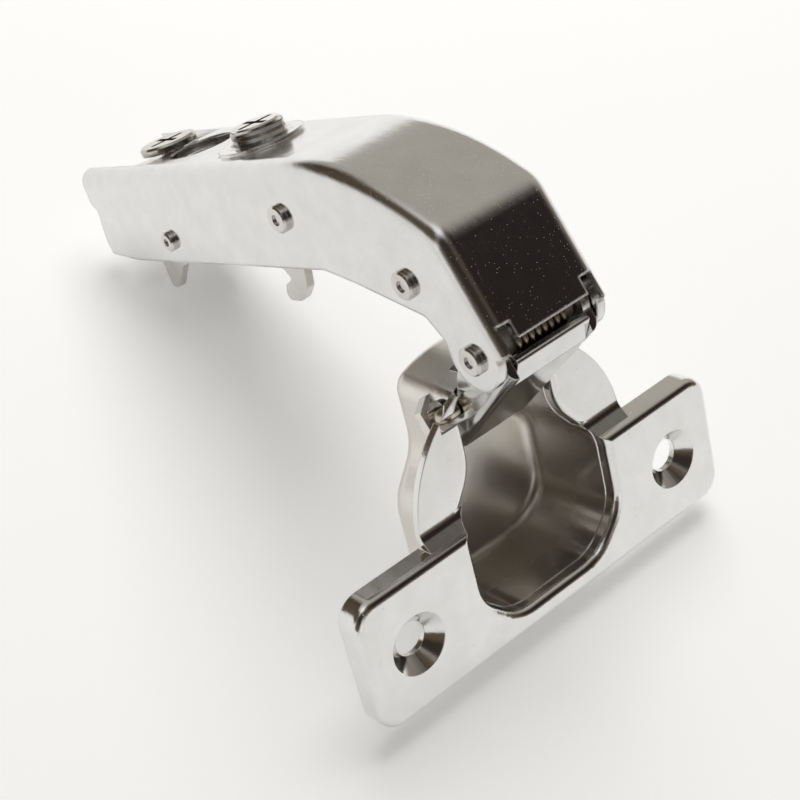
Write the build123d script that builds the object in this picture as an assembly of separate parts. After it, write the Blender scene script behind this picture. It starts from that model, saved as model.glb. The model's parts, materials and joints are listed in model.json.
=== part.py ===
"""Concealed cup hinge with a cranked clip-on arm, shown fully open.

Three working frames are used, all in millimetres:
  cup frame   x out of the cup's mouth, z from the screw holes towards the arm,
              origin midway between the two screw holes on the plate's front face
  arm frame   x along the arm towards the cup, z up through the arm's back,
              origin at the arm's rear end on its lower edge
  row frame   +Z up, with the plate's lower back edge and the arm's rear corner level with each other;
              the lowest point, which is the cup's back, is at z = 0
The y axis, along the hinge pins, is the same in all three.
"""
import os
from math import asin, atan2, cos, degrees, hypot, radians, sin, sqrt, tan

from build123d import *

# ---------------------------------------------------------------- driving dimensions
# cup: a drawn steel sheet
cup_sheet = 1.0            # wall of the drawn cup and its plate
plate_length = 60.6        # across both wings
plate_below_screws = 9.1   # screw line to the plate's free long edge
plate_above_screws = 9.2   # screw line to the wings' inner long edge
plate_depth = 3.4          # front face to the back of the turned-down rim
plate_corner = 3.2
screw_spacing = 45.0
screw_hole_radius = 2.2
screw_sink_radius = 4.0
screw_sink_depth = 1.8
bore_radius = 17.1         # round collar that covers the drilled hole
bore_above_screws = 9.5    # drilled hole's centre above the screw line
collar_drop = 2.5          # collar face below the plate's face
ramp_start = 8.2           # where the plate starts to step down to the collar
ramp_run = 2.6
mouth_half_width = 11.9    # inside of the pocket at the plate
mouth_below_screws = 6.0
mouth_corner_cut = 4.8     # 45 degree corners of the pocket
throat_half_width = 7.5    # inside of the narrow part that holds the links
throat_shoulder = 5.8      # length along z of the slant between wide and narrow
throat_corner_radius = 1.8
pocket_corner_radius = 6.0
mouth_rim_radius = 1.0     # rounding of the sheet into the pocket
pocket_floor_radius = 1.6
cup_depth = 15.0           # face of the plate to the outside of the floor
cup_draft = 3.2            # degrees, lean of the pocket walls
throat_wall_drop = 3.5     # free edge of the arm-side wall below the plate's face
throat_gap_half_width = 4.2
throat_gap_drop = 6.9      # cut-out in that wall for the inner link

# link pivots
cup_pin_outer = (-8.38, 20.07)   # outer link's pivot in the cup frame
cup_pin_inner = (-4.27, 22.50)   # inner link's pivot in the cup frame
front_pivot = (4.06, 32.33)      # outer link's pivot on the arm, cup frame, hinge open
second_pivot = (-5.08, 39.80)    # inner link's pivot on the arm, cup frame, hinge open
outer_link_share = 0.122   # turn of each link against the arm over the cup's turn
inner_link_share = -0.136
closing_turn = 95.0        # degrees, cup against arm from open to closed
pin_wire_radius = 1.0
strap_half_width = 0.85    # bridge over the pin's crossbar
front_pin_radius = 1.4
second_pin_radius = 1.4
rivet_head_radius = 1.8
rivet_head_height = 0.8
rivet_head_chamfer = 0.25

# arm: a folded steel channel
arm_tilt = 10.3            # degrees between the arm and the cup's mouth axis when open
arm_sheet = 1.2
arm_width = 17.0
arm_height = 13.7          # lower edge to the outside of the back
arm_fold_radius = 2.1
arm_reach = 77.78          # rear end to the front pivot
arm_drop = 10.22           # front pivot below the arm's lower edge
arm_nose_distance = 5.55   # front pivot to the outside of the closed front
arm_bend_radius = 44.0
arm_bend_angle = 37.0      # degrees
arm_nose_angle = 71.0      # degrees, slope of the closed front end
arm_nose_radius = 5.0
arm_lip_rise = 1.6         # lower lip of the closed front above the front pivot
arm_lip_half_width = 5.5
arm_lobe_radius = 4.0
arm_heel_step = 2.0        # rear end stands out behind the arm's origin
arm_heel_corner = (-1.4, 0, 1.0)    # rear lower corner

# carrier: inner channel that clips on the mounting plate
slide_gap = 0.15
carrier_sheet = 1.15
carrier_rear = 5.0         # arm's rear end to the carrier's rear end
carrier_length = 48.5
carrier_edge = 0.6         # carrier's lower edge above the arm's
guide_front = (48.9, 6.8)  # guide rivets in the arm frame
guide_rear = (18.2, 3.4)
guide_front_radius = 1.2
guide_rear_radius = 0.95
guide_rear_head_radius = 1.4
depth_travel = 1.5         # depth adjustment each way
hook_front = 43.6          # front hook's root in the arm frame
hook_width = 3.6
hook_length = 5.2

# latch at the rear of the carrier
latch_pivot_position = 19.5
latch_pivot_drop = 4.7     # below the outside of the arm's back
latch_hook_length = 5.2    # below the arm's lower edge
latch_sheet = 1.0
latch_pin_radius = 0.9
latch_side_gap = 0.15

# adjusting screws
cam_position = 11.6        # depth cam's axis from the arm's rear end
cam_head_radius = 4.1
cam_body_radius = 1.7
cam_body_offset = 0.4      # eccentric body
cam_shank_radius = 1.6
cam_head_height = 1.1
cam_slot_half_width = 6.4
access_position = 20.8     # hole through which the mounting plate's screw is reached
access_radius = 4.3
side_screw_position = 36.5
side_screw_radius = 3.6
side_screw_stand = 2.6     # above the arm's back
screw_neck_radius = 1.7
screw_foot_radius = 2.6
screw_foot_height = 1.2
side_screw_ring_radius = 5.8
side_screw_ring_height = 0.5
cross_width = 0.9
cross_depth = 0.9

# clearances
run_gap = 0.05             # radial, pin in a moving eye
side_gap = 0.3             # between moving cheeks
free_gap = 0.3             # between parts that pass each other

# outer link: folded U
link_sheet = 1.2
link_web_offset = 4.75     # web's outer face from the line between its pivots
link_eye_radius = 3.0
link_cup_eye_radius = 2.3
link_narrowing = 0.9       # cheeks come in this much from the arm end to the cup end
link_flange_rise = 3.6     # lip of the web beyond the cheeks
link_flange_turn = 21.0    # degrees
link_web_end = 0.2         # web's lower end past the cup pivot

# inner link: lever with a rolled hub
lever_half_width = 3.6
lever_thickness = 3.0
lever_hub_radius = 2.9
lever_slot_out = 0.85      # the open pivot's play along the lever, away from the hub
lever_slot_in = 1.15       # and towards it
lever_slot_half_width = 1.36
lever_slot_wall = 0.7

# springs
spring_wire = 0.9
spring_turns = 8
spring_pitch_ratio = 1.15  # pitch over wire
spring_leg_length = 9.0
spring_short_leg = 5.5
sleeve_wall = 0.3
sleeve_gap = 0.05
latch_spring_wire = 0.5
latch_spring_turns = 4

# ---------------------------------------------------------------- worked-out sizes
arm_half = arm_width / 2
latch_pivot = (latch_pivot_position, arm_height - latch_pivot_drop)
arm_knee_height = arm_height - arm_bend_radius * (1 - cos(radians(arm_bend_angle))) + arm_drop
arm_knee_ahead = (arm_nose_distance - arm_knee_height * cos(radians(arm_nose_angle))) / sin(
    radians(arm_nose_angle))
arm_bend_start = arm_bend_radius * sin(radians(arm_bend_angle)) - arm_knee_ahead
arm_inner_half = arm_half - arm_sheet
cup_centre = bore_above_screws
link_outer_half = arm_inner_half - side_gap
carrier_half = arm_inner_half - slide_gap
carrier_top = arm_height - arm_sheet - slide_gap
latch_half = carrier_half - carrier_sheet - latch_side_gap
link_length = hypot(front_pivot[0] - cup_pin_outer[0], front_pivot[1] - cup_pin_outer[1])
link_angle = degrees(atan2(front_pivot[1] - cup_pin_outer[1], front_pivot[0] - cup_pin_outer[0]))
cup_pin_angle = degrees(atan2(cup_pin_inner[1] - cup_pin_outer[1], cup_pin_inner[0] - cup_pin_outer[0]))
crossbar_y = -(throat_half_width + cup_sheet * 0.7)     # centre of the pin's crossbar
pin_spacing = hypot(cup_pin_inner[0] - cup_pin_outer[0], cup_pin_inner[1] - cup_pin_outer[1])
lever_length = hypot(second_pivot[0] - cup_pin_inner[0], second_pivot[1] - cup_pin_inner[1])
lever_angle = degrees(atan2(cup_pin_inner[1] - second_pivot[1], cup_pin_inner[0] - second_pivot[0]))
far = 200.0                # reach of cutting blocks


# ---------------------------------------------------------------- helpers
def side_face(points, radii=0.0):
    """Closed outline in the x-z plane with rounded corners."""
    return Plane.XZ * make_face(FilletPolyline(*points, radius=radii, close=True))


def side_prism(face, half_width):
    """Face in the x-z plane made solid to both sides of y = 0."""
    return extrude(face, amount=half_width, both=True)


def side_rod(x, z, radius, y_low, y_high):
    """Cylinder along y."""
    return Pos(x, (y_low + y_high) / 2, z) * Rot(90, 0, 0) * Cylinder(radius, y_high - y_low)


def block(x_low, x_high, y_low, y_high, z_low, z_high):
    """Box given by its corners."""
    centre = Pos((x_low + x_high) / 2, (y_low + y_high) / 2, (z_low + z_high) / 2)
    return centre * Box(x_high - x_low, y_high - y_low, z_high - z_low)


def polar(centre, radius, angle):
    """Point at an angle (degrees) round a centre."""
    return (centre[0] + radius * cos(radians(angle)), centre[1] + radius * sin(radians(angle)))


def turned(point, pivot, angle):
    """Point of the x-z plane swung round a pivot, from +x towards +z."""
    radius = hypot(point[0] - pivot[0], point[1] - pivot[1])
    start = degrees(atan2(point[1] - pivot[1], point[0] - pivot[0]))
    return polar(pivot, radius, start + angle)


def rivet(x, z, radius, head_radius, half_span):
    """Rivet along y with a chamfered, centre-punched head on each end."""
    height = rivet_head_height
    half = half_span + height
    low = half - rivet_head_chamfer
    rim = head_radius - rivet_head_chamfer
    profile = Polyline(
        (0, -half), (rim, -half), (head_radius, -low), (head_radius, -half_span), (radius, -half_span),
        (radius, half_span), (head_radius, half_span), (head_radius, low), (rim, half), (0, half),
        close=True,
    )
    body = revolve(make_face(profile), Axis.Y)
    for side in (-1, 1):
        dimple = Pos(0, side * half, 0) * Rot(90, 0, 0) * Cylinder(head_radius * 0.4, height * 0.7)
        body -= dimple
    return Pos(x, 0, z) * body


def to_cup(shape, pivot, angle):
    """Place a shape drawn along +x from a pivot into the cup frame."""
    return Pos(pivot[0], 0, pivot[1]) * Rot(0, -angle, 0) * shape


# ---------------------------------------------------------------- cup
def pocket_outline(level, wall):
    """Pocket's plan at a depth below the plate's face, grown outwards by a wall."""
    lean = tan(radians(cup_draft)) * level
    wide = mouth_half_width + wall - lean
    low = -(mouth_below_screws + wall - lean)
    cut = mouth_corner_cut + wall * 0.4 - lean * 1.1
    narrow = throat_half_width + wall - lean
    turn = plate_above_screws
    arc_radius = bore_radius - 0.8 + wall - lean
    top = cup_centre + sqrt(arc_radius**2 - narrow**2)
    right = [
        (narrow, top), (narrow, turn + throat_shoulder), (wide, turn), (wide, low + cut), (wide - cut, low),
    ]
    left = [(-y, z) for y, z in reversed(right)]
    outer_turn = pocket_corner_radius + wall
    hollow_turn = pocket_corner_radius + 2 * cup_sheet - wall
    outline = FilletPolyline(
        *right, *left,
        radius=(hollow_turn, *[outer_turn] * 6, hollow_turn),
    )
    arc = RadiusArc((-narrow, top), (narrow, top), arc_radius)
    face = make_face([*outline.edges(), *arc.edges()])
    corners = [v for v in face.vertices() if abs(v.Y - top) < 0.01]
    return fillet(corners, throat_corner_radius + wall)


def pocket_solid(start, end, wall):
    """Tapered plug between two depths below the plate's face."""
    upper = Plane.YZ.offset(-start) * pocket_outline(start, wall)
    lower = Plane.YZ.offset(-end) * pocket_outline(end, wall)
    return loft([upper, lower], ruled=True)


def mouth_rounding(level):
    """What rounding the sheet into the pocket takes away at one depth."""
    slab = block(-level - 2 * mouth_rim_radius, -level, -far / 4, far / 4, -far / 4, far / 4)
    hole = extrude(Plane.YZ.offset(-level) * pocket_outline(level, 0), amount=-far)
    holed = slab - hole
    rim = [edge for edge in holed.edges()
           if abs(edge.center().X + level) < 0.001 and hypot(edge.center().Y, edge.center().Z) < far / 5]
    return slab - fillet(rim, mouth_rim_radius)


def front_body(inset):
    """Everything behind the plate-ramp-collar surface, moved back by an inset."""
    slope = atan2(collar_drop, ramp_run)
    shift = inset * tan(slope / 2)
    points = [
        (-inset, -far), (-inset, ramp_start - shift),
        (-collar_drop - inset, ramp_start + ramp_run - shift),
        (-collar_drop - inset, far), (-far, far), (-far, -far),
    ]
    return side_prism(side_face(points, (0, 2.6 - inset * 0.5, 1.6 + inset * 0.5, 0, 0, 0)), far)


def make_cup():
    # plate with its rim turned down on every side
    outline = Pos(0, (plate_above_screws - plate_below_screws) / 2) * Rectangle(
        plate_length, plate_above_screws + plate_below_screws)
    outline = fillet(outline.vertices(), plate_corner)
    plate = extrude(Plane.YZ * outline, amount=-plate_depth)
    plate = fillet(plate.faces().sort_by(Axis.X)[-1].edges(), cup_sheet)
    hollow_outline = offset(outline, amount=-cup_sheet)
    hollow = extrude(Plane.YZ.offset(-cup_sheet) * hollow_outline, amount=-far)
    open_top = block(-far, -cup_sheet, -bore_radius, bore_radius, 0, far)
    plate -= hollow + open_top
    # ramp and round collar
    skin = front_body(0) - front_body(cup_sheet)
    collar = Plane.YZ.offset(-far) * (Pos(0, cup_centre) * Circle(bore_radius)
                                      + Pos(0, cup_centre - 2) * Rectangle(2 * bore_radius, 4))
    footprint = extrude(collar, amount=far) & block(-far, 0, -far, far, ramp_start - 2, far)
    # pocket
    body = pocket_solid(0, cup_depth, cup_sheet)
    body = fillet(body.faces().sort_by(Axis.X)[0].edges(), pocket_floor_radius + cup_sheet * 0.8)
    cup = plate + (skin & footprint) + (body & front_body(0))
    inner = pocket_solid(0, cup_depth - cup_sheet, 0)
    inner = fillet(inner.faces().sort_by(Axis.X)[0].edges(), pocket_floor_radius)
    cup -= inner
    cup -= mouth_rounding(0)
    cup -= mouth_rounding(collar_drop) & block(-far, far, -far, far, ramp_start + ramp_run, far)
    # arm-side wall: low free edge, and a deeper gap for the inner link
    tip_half_width = 6.9
    wall_foot = cup_centre + sqrt((bore_radius - 2.5)**2 - tip_half_width**2)
    cup -= block(-throat_wall_drop, far, -tip_half_width, tip_half_width, wall_foot, far)
    cup -= block(-throat_gap_drop, far, -throat_gap_half_width, throat_gap_half_width, wall_foot, far)
    for side in (-1, 1):
        # wavy inner edge of the collar beside the links
        cup -= Pos(-throat_wall_drop / 2, side * (throat_half_width - 2.3), cup_pin_inner[1] - 1.0) * Rot(
            0, 90, 0) * Cylinder(2.7, throat_wall_drop)
        # dished screw seats
        seat = Pos(0, side * screw_spacing / 2, 0)
        cone_bottom = screw_sink_depth + cup_sheet * 0.8
        cup += seat * (Pos(-cone_bottom / 2, 0, 0) * Rot(0, 90, 0) * Cone(
            screw_hole_radius + cup_sheet, screw_sink_radius + cup_sheet, cone_bottom))
        cup -= seat * (Pos(-screw_sink_depth / 2, 0, 0) * Rot(0, 90, 0) * Cone(
            screw_hole_radius, screw_sink_radius, screw_sink_depth))
        cup -= seat * Rot(0, 90, 0) * Cylinder(screw_hole_radius, far)
    # far wall: two holes for the pin's ends; near wall: a window with a strap over the crossbar
    for x, z in (cup_pin_outer, cup_pin_inner):
        cup -= side_rod(x, z, pin_wire_radius, 0, far)
    window = to_cup(side_prism(Plane.XZ * (Pos(pin_spacing / 2, 0) * SlotOverall(
        pin_spacing + 3.8, 3.8)), 2.0), cup_pin_outer, cup_pin_angle)
    cup -= Pos(0, -throat_half_width - cup_sheet, 0) * window
    cup += make_strap()
    return cup


def make_strap():
    """Bridge pressed out of the near wall over the middle of the pin's crossbar."""
    outer = crossbar_y - pin_wire_radius - run_gap - cup_sheet * 0.8
    inner = crossbar_y - pin_wire_radius - run_gap
    foot = crossbar_y + 0.9
    reach = 3.0
    points = [
        (-reach, foot), (-reach, foot - 0.9), (-pin_wire_radius - 0.6, outer), (pin_wire_radius + 0.6, outer),
        (reach, foot - 0.9), (reach, foot), (pin_wire_radius + 0.2, inner), (-pin_wire_radius - 0.2, inner),
    ]
    face = make_face(FilletPolyline(*points, radius=(0, 0, 0.5, 0.5, 0, 0, 0.2, 0.2), close=True))
    # drawn in (across the crossbar, y), extruded along the crossbar
    plane = Plane(origin=(0, 0, 0), x_dir=(0, 0, 1), z_dir=(-1, 0, 0))
    strip = extrude(plane * face, amount=strap_half_width, both=True)
    return to_cup(Pos(pin_spacing / 2, 0, 0) * strip, cup_pin_outer, cup_pin_angle)


def make_cup_pin():
    """Wire bent to a U: two parallel hinge pins joined by a crossbar outside the near wall."""
    bend = 1.2
    far_end = throat_half_width + cup_sheet + 0.4
    path = FilletPolyline(
        (0, far_end), (0, crossbar_y), (pin_spacing, crossbar_y), (pin_spacing, far_end),
        radius=(bend, bend),
    )
    start = Plane(origin=(0, far_end, 0), z_dir=(0, -1, 0))
    wire = sweep(start * Circle(pin_wire_radius), path=path)
    return to_cup(wire, cup_pin_outer, cup_pin_angle)


# ---------------------------------------------------------------- links
def link_plan(inset):
    """Outer link seen along its web: half-widths shrink from the arm end to the cup end."""
    low, high = -8.0, link_length + 8.0
    slope = link_narrowing / link_length
    low_half = link_outer_half - link_narrowing + slope * low - inset
    high_half = link_outer_half - link_narrowing + slope * high - inset
    plan = Polygon((low, low_half), (low, -low_half), (high, -high_half), (high, high_half), align=None)
    return extrude(plan, amount=far, both=True)


def make_outer_link():
    """Folded U, drawn with the cup pivot at the origin and the arm pivot on +x."""
    web = -link_web_offset
    cheek = side_face(
        [
            (link_web_end, 2 * web), (link_length - 1.0, 2 * web),
            (link_length + 2.0, -2.3), (link_length, 0),
            (link_length - 0.8, link_eye_radius - 0.1), (link_length * 0.55, 1.1), (link_length * 0.36, -0.7),
            (3.0, -2.0), (0, 0), (-2.0, -1.2),
        ],
        (0, 0, 0.8, 0, 1.0, 3.0, 0.8, 0, 0, 1.5),
    )
    cheek += Plane.XZ * (Pos(link_length, 0) * Circle(link_eye_radius))
    cheek += Plane.XZ * Circle(link_cup_eye_radius)
    # room for the inner link's pin, which swings round the cup pivot
    pin_angle = cup_pin_angle - link_angle
    clear = pin_wire_radius + free_gap + 0.1
    swept = Circle(pin_spacing + clear) - Circle(pin_spacing - clear)
    wedge = Polygon((0, 0), polar((0, 0), far, pin_angle), polar((0, 0), far, pin_angle + 55),
                    polar((0, 0), far, pin_angle + 120), align=None)
    swept = (swept & wedge) + Pos(*polar((0, 0), pin_spacing, pin_angle)) * Circle(clear)
    cheek -= Plane.XZ * swept
    # two cheeks and the web between them, folded with a rounded corner
    lip_start = link_length - 0.9
    folded = link_plan(0) & block(-far, far, -far, far, web, far / 4)
    folds = [edge for edge in folded.edges()
             if abs(edge.center().Z - web) < 0.001 and edge.bounding_box().size.X > link_length]
    body = side_prism(cheek, far) & fillet(folds, link_sheet)
    hollow = link_plan(link_sheet)
    body -= hollow & block(-far, far, -far, far, web + link_sheet, far)
    body -= hollow & block(lip_start, far, -far, far, -far, far)
    body += make_link_lip(lip_start)
    body -= side_rod(0, 0, pin_wire_radius + run_gap, -far, far)
    body -= side_rod(link_length, 0, front_pin_radius + run_gap, -far, far)
    return to_cup(body, cup_pin_outer, link_angle)


def make_link_lip(lip_start):
    """Web's turned-up lip, standing free between the cheeks."""
    web = -link_web_offset
    turn = radians(link_flange_turn)
    tip = (lip_start + link_flange_rise * cos(turn), web + link_flange_rise * sin(turn))
    inner = (tip[0] - link_sheet * sin(turn), tip[1] + link_sheet * cos(turn))
    points = [
        (lip_start - 1, web), (lip_start, web), tip, inner,
        (lip_start - link_sheet * tan(turn / 2), web + link_sheet), (lip_start - 1, web + link_sheet),
    ]
    lip_half = link_outer_half - link_sheet - 0.1
    return side_prism(side_face(points, (0, 1.0, 0.4, 0.4, 0.5, 0)), lip_half)


def make_inner_link():
    """Lever drawn with its hub at the origin and the open pivot on +x."""
    slot_outer = lever_slot_half_width + lever_slot_wall
    lever = side_prism(side_face(
        [
            (0, -lever_thickness / 2 - 0.6), (lever_length * 0.6, -lever_thickness / 2),
            (lever_length, -slot_outer), (lever_length, slot_outer),
            (lever_length * 0.6, lever_thickness / 2), (0, lever_thickness / 2 + 0.6),
        ],
        (0, 6, 0, 0, 6, 0)), lever_half_width)
    slot_play = lever_slot_out + lever_slot_in
    slot_place = Pos(lever_length + (lever_slot_out - lever_slot_in) / 2, 0)
    end_slot = Plane.XZ * (slot_place * SlotOverall(slot_play + 2 * slot_outer, 2 * slot_outer))
    lever += side_prism(end_slot, lever_half_width)
    lever += side_rod(0, 0, lever_hub_radius, -link_outer_half, link_outer_half)
    lever -= side_prism(Plane.XZ * (slot_place * SlotOverall(
        slot_play + 2 * lever_slot_half_width, 2 * lever_slot_half_width)), far)
    lever -= side_rod(0, 0, second_pin_radius + run_gap, -far, far)
    lever = to_cup(lever, second_pivot, lever_angle)
    # the hooked end is relieved where it lies against the outer link's web
    beyond_web = block(-far, far, -far, far, -far, -link_web_offset + link_sheet + free_gap)
    lever -= to_cup(beyond_web, cup_pin_outer, link_angle)
    # and notched where the outer link's pin passes it half-way through the travel
    notch = Plane.XZ * (Pos(*cup_pin_outer) * Circle(pin_wire_radius))
    for step in range(20, 80, 3):
        turn = closing_turn * step / 100
        swung = turned(cup_pin_outer, front_pivot, outer_link_share * turn)
        swung = turned(swung, second_pivot, -inner_link_share * turn)
        notch += Plane.XZ * (Pos(*swung) * Circle(pin_wire_radius + side_gap / 2))
    return lever - side_prism(notch, far)


# ---------------------------------------------------------------- arm
def arm_back_face(inset):
    """Side view of the arm's closed back and front, moved in by an inset, open downwards."""
    start = arm_reach - arm_bend_start
    rear = -arm_heel_step
    bend = JernArc((start, arm_height), (1, 0), arm_bend_radius, -arm_bend_angle)
    knee = bend @ 1
    foot_height = -arm_drop - 3 * arm_lobe_radius
    foot = (knee.X + (knee.Y - foot_height) / tan(radians(arm_nose_angle)), foot_height)
    face = make_face([
        Line((rear, arm_height), (start, arm_height)).edge(), bend.edge(), Line(knee, foot).edge(),
        Line(foot, (rear, foot_height)).edge(), Line((rear, foot_height), (rear, arm_height)).edge(),
    ])
    corner = face.vertices().sort_by_distance((knee.X, knee.Y, 0))[0]
    face = fillet(corner, arm_nose_radius)
    if inset:
        face = offset(face, amount=-inset, kind=Kind.INTERSECTION)
        face += Pos(rear, (arm_height - inset + foot_height) / 2) * Rectangle(
            far / 10, arm_height - inset - foot_height)
    return Plane.XZ * face


def fold_edges(solid, half_width):
    """Long edges where the channel's back and front meet its sides."""
    box = solid.bounding_box()
    edges = []
    for edge in solid.edges():
        centre = edge.center()
        on_side = abs(abs(centre.Y) - half_width) < 0.01 and edge.bounding_box().size.Y < 0.01
        open_end = centre.Z < box.min.Z + 0.01 or edge.bounding_box().size.X < 0.01
        if on_side and not open_end:
            edges.append(edge)
    return edges


def make_arm():
    outer = side_prism(arm_back_face(0), arm_half)
    outer = fillet(fold_edges(outer, arm_half), arm_fold_radius)
    inner = side_prism(arm_back_face(arm_sheet), arm_inner_half)
    inner = fillet(fold_edges(inner, arm_inner_half), arm_fold_radius - arm_sheet)
    channel = outer - inner
    pivot_x, pivot_z = arm_reach, -arm_drop
    side = side_face(
        [
            (-arm_heel_step, far), (-arm_heel_step, 9.0), (-arm_heel_step + 1.2, 7.8), (-arm_heel_step, 2.8),
            (arm_heel_corner[0], arm_heel_corner[2]), (6, 0.2),
            (pivot_x - 23.5, 0.0), (pivot_x - 17.5, -1.6), (pivot_x - 6.2, pivot_z + 5.0),
            (pivot_x - arm_lobe_radius, pivot_z + 2.0),
            (pivot_x - arm_lobe_radius, pivot_z - arm_lobe_radius),
            (pivot_x + arm_lobe_radius, pivot_z - arm_lobe_radius), (pivot_x + arm_lobe_radius, pivot_z),
            (pivot_x + 12, pivot_z + 2), (pivot_x + 12, far),
        ],
        (
            0, 0.5, 0.5, 0.8, 0.5, 3.0, 4.0, 4.0, 1.5, 2.0,
            arm_lobe_radius * 0.99, arm_lobe_radius * 0.99, 0, 0, 0,
        ),
    )
    arm = channel & side_prism(side, far)
    # front lip with a relief notch at each corner
    lip_z = pivot_z + arm_lip_rise
    notch = 2.0
    arm -= block(pivot_x - 1, pivot_x + 12, -arm_lip_half_width, arm_lip_half_width, -far, lip_z)
    arm -= block(pivot_x - 1, pivot_x + 12, -arm_inner_half, arm_inner_half, -far, lip_z)
    for side_sign in (-1, 1):
        y_low, y_high = sorted((side_sign * arm_lip_half_width, side_sign * arm_inner_half))
        arm -= block(pivot_x - 1, pivot_x + 12, y_low, y_high, -far, lip_z + notch)
    # rear cut-out for the depth cam, access hole, side screw's thread
    cam_slot_end = cam_position + cam_body_offset + cam_body_radius + depth_travel + run_gap
    arm -= block(-far, cam_slot_end, -cam_slot_half_width, cam_slot_half_width, arm_height - arm_sheet - 0.01,
                 far)
    arm -= Pos(access_position, 0, arm_height) * Cylinder(access_radius + 0.3, 6)
    ring_top = arm_height + side_screw_ring_height
    arm += Pos(side_screw_position, 0, (arm_height - arm_sheet + ring_top) / 2) * Cylinder(
        side_screw_ring_radius, ring_top - (arm_height - arm_sheet))
    arm -= Pos(side_screw_position, 0, ring_top) * Cone(side_screw_radius + 0.3, side_screw_radius + 1.3, 0.9)
    arm -= Pos(side_screw_position, 0, arm_height) * Cylinder(side_screw_radius + run_gap, far)
    # rivet holes
    pivot_b = to_arm(second_pivot)
    for (x, z), radius in (
        ((pivot_x, pivot_z), front_pin_radius), (pivot_b, second_pin_radius),
        (guide_front, guide_front_radius), (guide_rear, guide_rear_radius),
    ):
        arm -= side_rod(x, z, radius, -far, far)
    return arm


def to_arm(point):
    """Point of the cup frame (hinge open) in the arm frame."""
    dx, dz = point[0] - front_pivot[0], point[1] - front_pivot[1]
    turn = radians(arm_tilt)
    return (arm_reach + dx * cos(turn) + dz * sin(turn), -arm_drop - dx * sin(turn) + dz * cos(turn))


def make_carrier():
    """Inner channel with its two front hooks."""
    rear = carrier_rear
    front = carrier_rear + carrier_length
    outer = block(rear, front, -carrier_half, carrier_half, -far, carrier_top)
    outer = fillet(outer.edges().filter_by(Axis.X).sort_by(Axis.Z)[-2:], arm_fold_radius - arm_sheet * 0.9)
    inner = block(-far, far, -(carrier_half - carrier_sheet), carrier_half - carrier_sheet, -far,
                  carrier_top - carrier_sheet)
    hook_x = hook_front
    side = side_face(
        [
            (rear, far), (rear, 8.5), (rear + 9.5, 8.0), (guide_rear[0] - 3.0, carrier_edge),
            (guide_rear[0] + 8, carrier_edge), (hook_x - 8.5, carrier_edge - 1.0),
            (hook_x - 1.2, carrier_edge - 1.3), (hook_x, -2.2), (hook_x - 1.9, -3.0),
            (hook_x - 3.2, -hook_length), (hook_x + hook_width - 3.0, -hook_length),
            (hook_x + hook_width - 0.8, -3.4), (hook_x + hook_width + 0.6, carrier_edge),
            (front, carrier_edge + 1.4),
            (front, far),
        ],
        (0, 1.5, 2.0, 2.0, 1.0, 1.0, 0.5, 0.4, 0.4, 0.9, 1.4, 1.0, 1.0, 2.0, 0),
    )
    carrier = (outer - inner) & side_prism(side, far)
    web_z = carrier_top - carrier_sheet / 2
    carrier -= Pos(cam_position, 0, web_z) * Cylinder(cam_shank_radius + run_gap, 2 * carrier_sheet)
    carrier -= Pos(access_position, 0, web_z) * Cylinder(access_radius, 2 * carrier_sheet)
    slot_start = side_screw_position - depth_travel
    carrier -= Pos(slot_start, 0, web_z) * Cylinder(screw_neck_radius + free_gap, 2 * carrier_sheet)
    keyhole_end = side_screw_position + screw_foot_radius + screw_neck_radius + 1.2
    carrier -= Pos(keyhole_end, 0, web_z) * Cylinder(screw_foot_radius + free_gap, 2 * carrier_sheet)
    carrier -= block(slot_start, keyhole_end, -screw_neck_radius - free_gap, screw_neck_radius + free_gap,
                     web_z - carrier_sheet, web_z + carrier_sheet)
    for (x, z), radius in ((guide_front, guide_front_radius), (guide_rear, guide_rear_radius)):
        length = 2 * (depth_travel + radius + free_gap)
        carrier -= side_prism(Plane.XZ * (Pos(x, z) * SlotOverall(length, 2 * (radius + run_gap))), far)
    carrier -= side_rod(*latch_pivot, latch_pin_radius, -far, far)
    return carrier


def make_latch():
    """Spring-loaded U lever whose two rear hooks grip the mounting plate."""
    px, pz = latch_pivot
    cheek = side_face(
        [
            (px + 2.2, pz + 1.6), (px + 2.2, pz - 2.0), (px - 5.4, pz - 3.2), (px - 5.6, 0.5),
            (px - 6.4, -1.8), (px - 9.9, -latch_hook_length),
            (px - 12.0, -latch_hook_length), (px - 12.0, 1.0),
            (2.2, 1.6), (1.2, pz + 0.6), (2.4, pz + 0.6), (px - 10.0, pz - 1.0), (px - 2.0, pz + 1.9),
        ],
        (1.8, 1.8, 1.0, 1.0, 0.5, 0.8, 0.8, 1.0, 0.8, 0.4, 0.4, 2.0, 1.0),
    )
    latch = side_prism(cheek, latch_half)
    hollow = latch_half - latch_sheet
    latch -= block(3.2, far, -hollow, hollow, -far, far)
    latch -= side_rod(px, pz, latch_pin_radius + run_gap, -far, far)
    return latch


def make_latch_pin():
    px, pz = latch_pivot
    return side_rod(px, pz, latch_pin_radius, -carrier_half, carrier_half)


def make_latch_spring():
    """Small torsion spring round the latch pin; one leg under the carrier's web, one on the latch."""
    px, pz = latch_pivot
    wire = latch_spring_wire / 2
    radius = latch_pin_radius + 0.2 + wire
    up_leg = carrier_top - carrier_sheet - pz - wire - 0.1
    spring = coil_with_legs(wire, radius, latch_spring_wire * spring_pitch_ratio, latch_spring_turns,
                            -90, 0, 6.0, up_leg)
    return Pos(px, 0, pz) * spring


def cross_recess(size):
    """Cross-shaped driver recess with tapering wings."""
    recess = Box(size * 2, cross_width, cross_depth * 2) + Box(cross_width, size * 2, cross_depth * 2)
    return recess + Cone(cross_width * 0.4, cross_width * 1.1, cross_depth * 2)


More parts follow.
